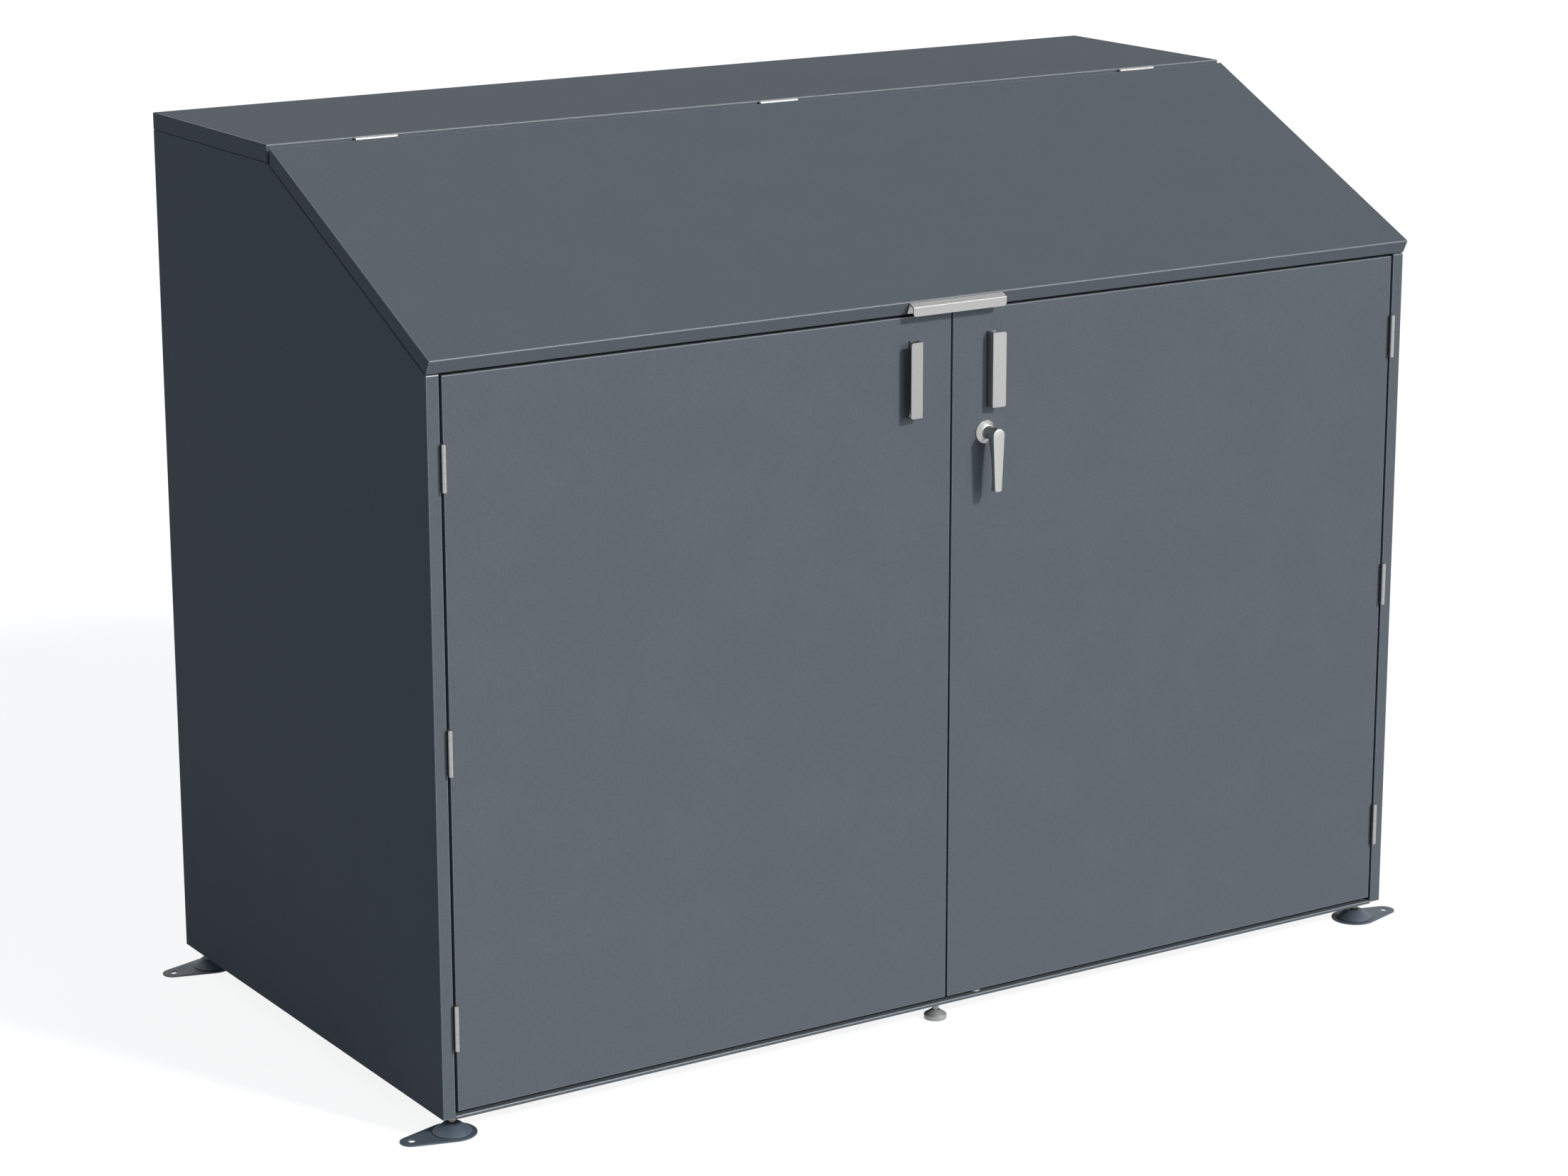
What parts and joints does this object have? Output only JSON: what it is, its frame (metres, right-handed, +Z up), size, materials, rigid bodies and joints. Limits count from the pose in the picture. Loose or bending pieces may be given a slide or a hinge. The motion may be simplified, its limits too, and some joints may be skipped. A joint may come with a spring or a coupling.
{
  "type": "bicycle locker",
  "caption": "Folded steel bicycle locker with hinged front doors, a sloping lid on gas struts, a lever lock with rods and levelling feet.",
  "frame": {"origin": "middle of the footprint of the whole object, on the ground under the feet", "axes": "+X along the front to the right as seen from the front, +Y from the front to the rear, +Z up"},
  "size_m": [2.123, 1.0536, 1.5741],
  "materials": {
    "slate_powder_coat": "satin powder coat with a fine grain, anthracite",
    "stainless_steel": "fine satin",
    "zinc_plate": "zinc plated, dull bright",
    "black_paint": "satin black enamel"
  },
  "bodies": {
    "cabinet": {"left_side_panel": "slate_powder_coat", "right_side_panel": "slate_powder_coat", "back_panel": "slate_powder_coat", "floor_panel": "slate_powder_coat", "front_sill": "slate_powder_coat", "sill_bush": "stainless_steel", "roof_cap": "slate_powder_coat", "left_strut_wall_bracket": "zinc_plate", "right_strut_wall_bracket": "zinc_plate", "front_left_foot_pad": "slate_powder_coat", "front_right_foot_pad": "slate_powder_coat", "rear_left_foot_pad": "slate_powder_coat", "rear_right_foot_pad": "slate_powder_coat", "left_door_hinge_lower_fixed": "stainless_steel", "left_door_hinge_middle_fixed": "stainless_steel", "left_door_hinge_upper_fixed": "stainless_steel", "right_door_hinge_lower_fixed": "stainless_steel", "right_door_hinge_middle_fixed": "stainless_steel", "right_door_hinge_upper_fixed": "stainless_steel", "lid_hinge_left_fixed": "stainless_steel", "lid_hinge_middle_fixed": "stainless_steel", "lid_hinge_right_fixed": "stainless_steel"},
    "lid": {"lid_panel": "slate_powder_coat", "lid_stiffener": "slate_powder_coat", "lid_keeper": "zinc_plate", "lid_handle": "stainless_steel", "left_strut_lid_bracket": "zinc_plate", "right_strut_lid_bracket": "zinc_plate", "lid_hinge_left_moving": "stainless_steel", "lid_hinge_middle_moving": "stainless_steel", "lid_hinge_right_moving": "stainless_steel"},
    "left_door": {"left_door_panel": "slate_powder_coat", "left_door_stiffener": "slate_powder_coat", "left_door_handle": "stainless_steel", "left_door_hinge_lower_moving": "stainless_steel", "left_door_hinge_middle_moving": "stainless_steel", "left_door_hinge_upper_moving": "stainless_steel"},
    "right_door": {"right_door_panel": "slate_powder_coat", "right_door_stiffener": "slate_powder_coat", "right_door_handle": "stainless_steel", "lock_rosette": "stainless_steel", "right_door_hinge_lower_moving": "stainless_steel", "right_door_hinge_middle_moving": "stainless_steel", "right_door_hinge_upper_moving": "stainless_steel"},
    "lock_spindle": {"lock_lever": "stainless_steel", "lock_pinion": "zinc_plate", "lock_cam": "zinc_plate"},
    "upper_rod": {"upper_rod": "zinc_plate"},
    "lower_rod": {"lower_rod": "zinc_plate"},
    "left_strut_cylinder": {"left_strut_cylinder": "black_paint"},
    "left_strut_rod": {"left_strut_rod": "stainless_steel"},
    "right_strut_cylinder": {"right_strut_cylinder": "black_paint"},
    "right_strut_rod": {"right_strut_rod": "stainless_steel"},
    "front_left_foot_spindle": {"front_left_foot_spindle": "zinc_plate"},
    "front_middle_foot": {"front_middle_foot": "stainless_steel"},
    "front_right_foot_spindle": {"front_right_foot_spindle": "zinc_plate"},
    "rear_left_foot_spindle": {"rear_left_foot_spindle": "zinc_plate"},
    "rear_middle_foot": {"rear_middle_foot": "stainless_steel"},
    "rear_right_foot_spindle": {"rear_right_foot_spindle": "zinc_plate"}
  },
  "joints": [
    {"name": "lid_opening", "type": "hinge", "parent": "cabinet", "child": "lid", "pos_m": [0, 0.05776, 1.57], "axis": [-1, 0, 0], "range_deg": [0, 75]},
    {"name": "left_door_opening", "type": "hinge", "parent": "cabinet", "child": "left_door", "pos_m": [-0.9744, -0.49284, 0.664], "axis": [0, 0, -1], "range_deg": [0, 170]},
    {"name": "right_door_opening", "type": "hinge", "parent": "cabinet", "child": "right_door", "pos_m": [0.9744, -0.49284, 0.664], "axis": [0, 0, 1], "range_deg": [0, 170]},
    {"name": "lever_turn", "type": "hinge", "parent": "right_door", "child": "lock_spindle", "pos_m": [0.0715, -0.48624, 1.06177], "axis": [0, -1, 0], "range_deg": [0, 90]},
    {"name": "upper_rod_slide", "type": "slide", "parent": "right_door", "child": "upper_rod", "axis": [0, 0, 1], "range_m": [0, 0.01571]},
    {"name": "lower_rod_slide", "type": "slide", "parent": "right_door", "child": "lower_rod", "axis": [0, 0, -1], "range_m": [0, 0.01571]},
    {"name": "left_strut_swing", "type": "hinge", "parent": "cabinet", "child": "left_strut_cylinder", "pos_m": [-0.96, 0.05375, 1.259], "axis": [-1, 0, 0], "range_deg": [0, 10.04]},
    {"name": "left_strut_stroke", "type": "slide", "parent": "left_strut_cylinder", "child": "left_strut_rod", "axis": [0, -0.4194, 0.9078], "range_m": [0, 0.15827]},
    {"name": "right_strut_swing", "type": "hinge", "parent": "cabinet", "child": "right_strut_cylinder", "pos_m": [0.96, 0.05375, 1.259], "axis": [-1, 0, 0], "range_deg": [0, 10.04]},
    {"name": "right_strut_stroke", "type": "slide", "parent": "right_strut_cylinder", "child": "right_strut_rod", "axis": [0, -0.4194, 0.9078], "range_m": [0, 0.15827]},
    {"name": "front_left_foot_spindle_turn", "type": "hinge", "parent": "cabinet", "child": "front_left_foot_spindle", "pos_m": [-0.9666, -0.45285, 0.039], "axis": [0, 0, 1], "continuous": true},
    {"name": "front_middle_foot_turn", "type": "hinge", "parent": "cabinet", "child": "front_middle_foot", "pos_m": [0, -0.45285, 0.039], "axis": [0, 0, 1], "continuous": true},
    {"name": "front_right_foot_spindle_turn", "type": "hinge", "parent": "cabinet", "child": "front_right_foot_spindle", "pos_m": [0.9666, -0.45285, 0.039], "axis": [0, 0, 1], "continuous": true},
    {"name": "rear_left_foot_spindle_turn", "type": "hinge", "parent": "cabinet", "child": "rear_left_foot_spindle", "pos_m": [-0.9666, 0.48535, 0.039], "axis": [0, 0, 1], "continuous": true},
    {"name": "rear_middle_foot_turn", "type": "hinge", "parent": "cabinet", "child": "rear_middle_foot", "pos_m": [0, 0.48535, 0.039], "axis": [0, 0, 1], "continuous": true},
    {"name": "rear_right_foot_spindle_turn", "type": "hinge", "parent": "cabinet", "child": "rear_right_foot_spindle", "pos_m": [0.9666, 0.48535, 0.039], "axis": [0, 0, 1], "continuous": true}
  ],
  "couplings": [
    {"joint": "upper_rod_slide", "follows": "lever_turn", "m_per_rad": 0.01},
    {"joint": "lower_rod_slide", "follows": "lever_turn", "m_per_rad": 0.01},
    {"joint": "left_strut_swing", "follows": "lid_opening", "ratio": 0.13256},
    {"joint": "left_strut_stroke", "follows": "lid_opening", "m_per_rad": 0.12052},
    {"joint": "right_strut_swing", "follows": "lid_opening", "ratio": 0.13256},
    {"joint": "right_strut_stroke", "follows": "lid_opening", "m_per_rad": 0.12052}
  ]
}
